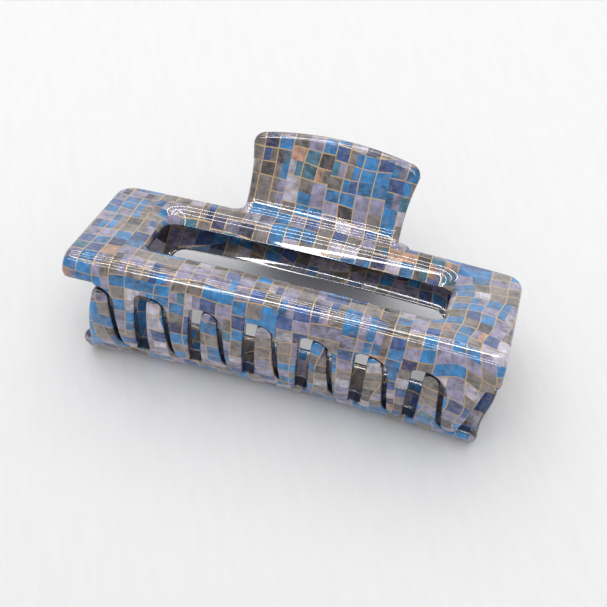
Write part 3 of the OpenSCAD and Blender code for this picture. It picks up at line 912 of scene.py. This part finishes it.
def mosaic_material(name, look, zones):
    """Shell tiles with gold lines under clear lacquer; zones gather some tones."""
    sh = Shader(name)
    tile_x, tile_t = look.tile_x / MM, look.tile_t / MM
    place = sh.node("ShaderNodeUVMap", {"uv_map": "sheet"})
    x, t = sh.split(place)
    facing = sh.split(sh.node("ShaderNodeUVMap", {"uv_map": "side"}))[0]

    # the film wanders a little as it is laid, most of all at the right end of the clip
    drift_x, drift_t = sh.split(sh.noise(place, 0.045, 1.0, out="Color"))
    swirl = x.above(38.0, soft=8.0) * look.swirl
    x_film = x + (drift_x - 0.5) * (swirl + look.drift_x)
    t_film = t + (drift_t - 0.5) * (swirl + look.drift_t)

    # about four columns at a time have their level joints at one height
    column_at = x_film / tile_x
    column = column_at.floor()
    step = sh.random((column * 0.27).floor(), 0.0, seed=3.0)
    row_at = t_film / tile_t + step
    row = row_at.floor()

    # tones lie about the ramp's middle; neighbours tend to be close
    tile = sh.random(column, row, seed=11.0)
    turn = sh.random(column, row, seed=23.0)
    centre = sh.vector(column * tile_x, row * tile_t)
    patch = sh.noise(centre, 0.05, 1.0)
    tone = tile * look.scatter + (patch - 0.5) * look.gather + 0.15
    for zone_x, zone_t, wide, high, level in zones:
        spot = sh.spot(column_at + 0.5, row_at, zone_x, zone_t, wide, high, look)
        tone = tone + spot * (level + (tile - 0.5) * ZONE_SPREAD - tone)
    tint = sh.node("ShaderNodeValToRGB", {"stops": (
        (0.0, look.charcoal), (0.07, look.taupe), (0.20, look.pearl), (0.26, look.taupe),
        (0.33, look.lilac), (0.40, look.cobalt), (0.46, look.azure), (0.57, look.lilac),
        (0.63, look.taupe), (0.70, look.pearl), (0.73, look.azure), (0.80, look.navy),
        (0.84, look.lilac), (0.89, look.teal), (0.93, look.charcoal),
        (0.965, look.peach))}, tone)

    # nacre: each tile has its own piece of the clouds, and streaks at its own angle
    own = sh.node("ShaderNodeVectorMath", {"operation": "ADD"}, place,
                  sh.vector(tile * 71.0, turn * 53.0, tile * 37.0))
    grain = sh.turned(own, turn.above(0.5) * 1.57 + tile * 0.5)
    streak = sh.noise(sh.stretched(grain, (0.6, 3.2, 1.0)), 1.0, 3.0, 0.6)
    cloud = sh.noise(own, 0.42, 2.0)
    light = (1.0 + (streak - 0.5) * look.streaks + (cloud - 0.5) * look.clouds
             + (turn - 0.5) * 0.5)
    shaded = sh.node("ShaderNodeVectorMath", {"operation": "SCALE"}, tint,
                     Scale=light.maximum(0.25))
    blush = sh.noise(own, 0.8, 2.0).above(0.56, soft=0.10)
    sheen = sh.mix(blush * look.blush, shaded, (*look.rose, 1.0))

    # gold lines on most of the joints, worn away here and there
    half, soft = look.line / MM / 2, 0.06
    across = (column_at - (column_at + 0.5).floor()).absolute() * tile_x
    along = (row_at - (row_at + 0.5).floor()).absolute() * tile_t
    upright = across.below(half, soft) * sh.random(
        (column_at + 0.5).floor(), (row * 0.5).floor(), seed=31.0).above(look.bare_x)
    level = along.below(half, soft) * sh.random(
        (column * 0.5).floor(), (row_at + 0.5).floor(), seed=41.0).above(look.bare_t)
    wear = sh.noise(place, 0.5, 2.0).above(0.36, soft=0.12)
    line = upright.maximum(level) * wear
    skin = sh.mix(line * 0.9, sheen, (*look.gold, 1.0))

    # facing is 1 on the outer face, 0 on the cut sides and -1 on the inner face: the film
    # thins out over the sides, where the dark base shows; painted shade darkens the inner
    # face
    inside = facing.below(-0.75, soft=0.15)
    side = facing.below(0.30, soft=0.18) * facing.above(-0.75, soft=0.15)
    wall = sh.mix(side * 0.86, skin, (*look.base, 1.0))
    body = sh.mix(inside * 0.22, wall, (*look.inner_shade, 1.0))

    ripple = sh.noise(place, 0.16, 1.0)
    normal = sh.node("ShaderNodeBump", {}, Strength=0.12, Distance=0.0004, Height=ripple)
    sh.set(Base_Color=body, Roughness=0.6 - line * 0.2, Metallic=line * 0.3,
           Specular_IOR_Level=0.2, Normal=normal, Coat_Weight=1.0, Coat_Roughness=0.015,
           Coat_IOR=1.55)
    return sh.material


def steel_material(name, tint, axis):
    """Drawn steel with fine streaks along one axis."""
    sh = Shader(name)
    place = sh.node("ShaderNodeTexCoord", {}, out="Object")
    # streaks per metre, few along the axis and many across it
    stretch = {"X": (300.0, 6000.0, 6000.0), "Z": (4000.0, 4000.0, 500.0)}[axis]
    streak = sh.noise(sh.stretched(place, stretch), 1.0, 3.0)
    cloud = sh.noise(place, 400.0, 2.0)
    body = sh.mix(streak, (*(c * 0.75 for c in tint), 1.0), (*tint, 1.0))
    bump = sh.node("ShaderNodeBump", {}, Strength=0.15, Distance=0.00003, Height=streak)
    sh.set(Base_Color=body, Roughness=0.22 + cloud * 0.22, Metallic=1.0, Normal=bump)
    return sh.material


def floor_material(look):
    """Matt table top with a faint grain."""
    sh = Shader("pale table top")
    place = sh.node("ShaderNodeTexCoord", {}, out="Object")
    drawn = sh.stretched(sh.turned(place, math.radians(-28)), (450.0, 70.0, 1.0))
    grain = sh.noise(drawn, 1.0, 4.0, 0.6)
    tint = sh.mix(grain, (*(c * 0.92 for c in look.floor), 1.0), (*look.floor, 1.0))
    # painted shade: the table darkens a little towards the camera, for the light falling off
    y = sh.split(place)[1]
    tint = sh.mix(y.below(-0.06, soft=0.12) * 0.16, tint, (0.40, 0.395, 0.39, 1.0))
    bump = sh.node("ShaderNodeBump", {}, Strength=0.35, Distance=0.0004, Height=grain)
    sh.set(Base_Color=tint, Roughness=0.75, Normal=bump)
    return sh.material


# ---- stage ----


def look_from(place, aim, roll):
    """Matrix of a camera or lamp at a place, looking at a point."""
    turn = (Vector(aim) - Vector(place)).to_track_quat("-Z", "Y").to_matrix().to_4x4()
    return Matrix.Translation(place) @ turn @ Matrix.Rotation(roll, 4, "Z")


def area_lamp(name, place, aim, size, power):
    """A rectangular lamp; size is its width along X and its height."""
    data = bpy.data.lights.new(name, "AREA")
    data.shape = "RECTANGLE"
    data.size, data.size_y = size
    data.energy = power
    lamp = bpy.data.objects.new(name, data)
    bpy.context.scene.collection.objects.link(lamp)
    lamp.matrix_world = look_from(place, aim, 0)
    return lamp


class CLIP_OT_stage(bpy.types.Operator):
    """Sets the camera, the pale floor and the lamps"""
    bl_idname = "clip.stage"
    bl_label = "Stage"

    def execute(self, context):
        look = context.scene.clip_stage
        data = bpy.data.cameras.new("camera")
        data.lens = look.lens
        data.sensor_width = 36.0
        data.sensor_fit = "HORIZONTAL"
        data.clip_start = 0.01
        camera = bpy.data.objects.new("camera", data)
        bpy.context.scene.collection.objects.link(camera)
        camera.matrix_world = look_from(look.camera, look.aim, look.roll)
        context.scene.camera = camera

        bpy.ops.object.select_all(action="DESELECT")
        bpy.ops.mesh.primitive_plane_add(size=6.0)
        floor = bpy.context.object
        floor.name = "table_top"
        floor.data.materials.append(floor_material(look))

        # the strips and the wall only show in the lacquer; the key only lights
        middle = (0, 0, 0.02)
        aside, distance = -0.15, 1.3
        for i in range(look.strips):
            rise = look.strip_low + i * look.strip_step
            place = (aside, distance * math.cos(rise), distance * math.sin(rise))
            strip = area_lamp(f"strip {i + 1}", place, aim=middle, size=(1.4, 0.035),
                              power=look.strip_power)
            strip.visible_diffuse = False
        key = area_lamp("soft key", (-0.2, 0.4, 1.75), aim=(0, 0, 0), size=(2.4, 2.4),
                        power=look.key_power)
        key.visible_glossy = False
        wall = area_lamp("pale wall", (-0.8, 2.5, 0.55), aim=middle, size=(5.0, 1.0),
                         power=look.wall_power)
        wall.visible_diffuse = False

        world = bpy.data.worlds.new("studio")
        context.scene.world = world
        world.use_nodes = True
        background = world.node_tree.nodes["Background"]
        background.inputs["Color"].default_value = (0.97, 0.98, 1.0, 1.0)
        background.inputs["Strength"].default_value = look.fill
        context.scene.view_settings.view_transform = "Standard"
        return {"FINISHED"}


class CLIP_PT_panel(bpy.types.Panel):
    """Lists the clip's operators and sizes"""
    bl_idname = "CLIP_PT_panel"
    bl_label = "Claw Clip"
    bl_space_type = "VIEW_3D"
    bl_region_type = "UI"
    bl_category = "Clip"

    def draw(self, context):
        for operator in OPERATORS:
            self.layout.operator(operator.bl_idname)
        for name in GROUPS:
            box = self.layout.box()
            group = getattr(context.scene, name)
            for key in group.__annotations__:
                box.prop(group, key)


GROUPS = {"clip_jaw": JawSizes, "clip_window": WindowSizes, "clip_teeth": ToothSizes,
          "clip_handle": HandleSizes, "clip_hinge": HingeSizes, "clip_mosaic": MosaicLook,
          "clip_stage": StageLook}
OPERATORS = (CLIP_OT_jaws, CLIP_OT_pin, CLIP_OT_spring, CLIP_OT_stage)


def register():
    for group in GROUPS.values():
        bpy.utils.register_class(group)
    for name, group in GROUPS.items():
        setattr(bpy.types.Scene, name, PointerProperty(type=group))
    for operator in OPERATORS:
        bpy.utils.register_class(operator)
    bpy.utils.register_class(CLIP_PT_panel)


def unregister():
    bpy.utils.unregister_class(CLIP_PT_panel)
    for operator in reversed(OPERATORS):
        bpy.utils.unregister_class(operator)
    for name in GROUPS:
        delattr(bpy.types.Scene, name)
    for group in reversed(GROUPS.values()):
        bpy.utils.unregister_class(group)


def main():
    register()
    bpy.ops.clip.jaws()
    bpy.ops.clip.pin()
    bpy.ops.clip.spring()
    bpy.ops.clip.stage()


if __name__ == "__main__":
    main()
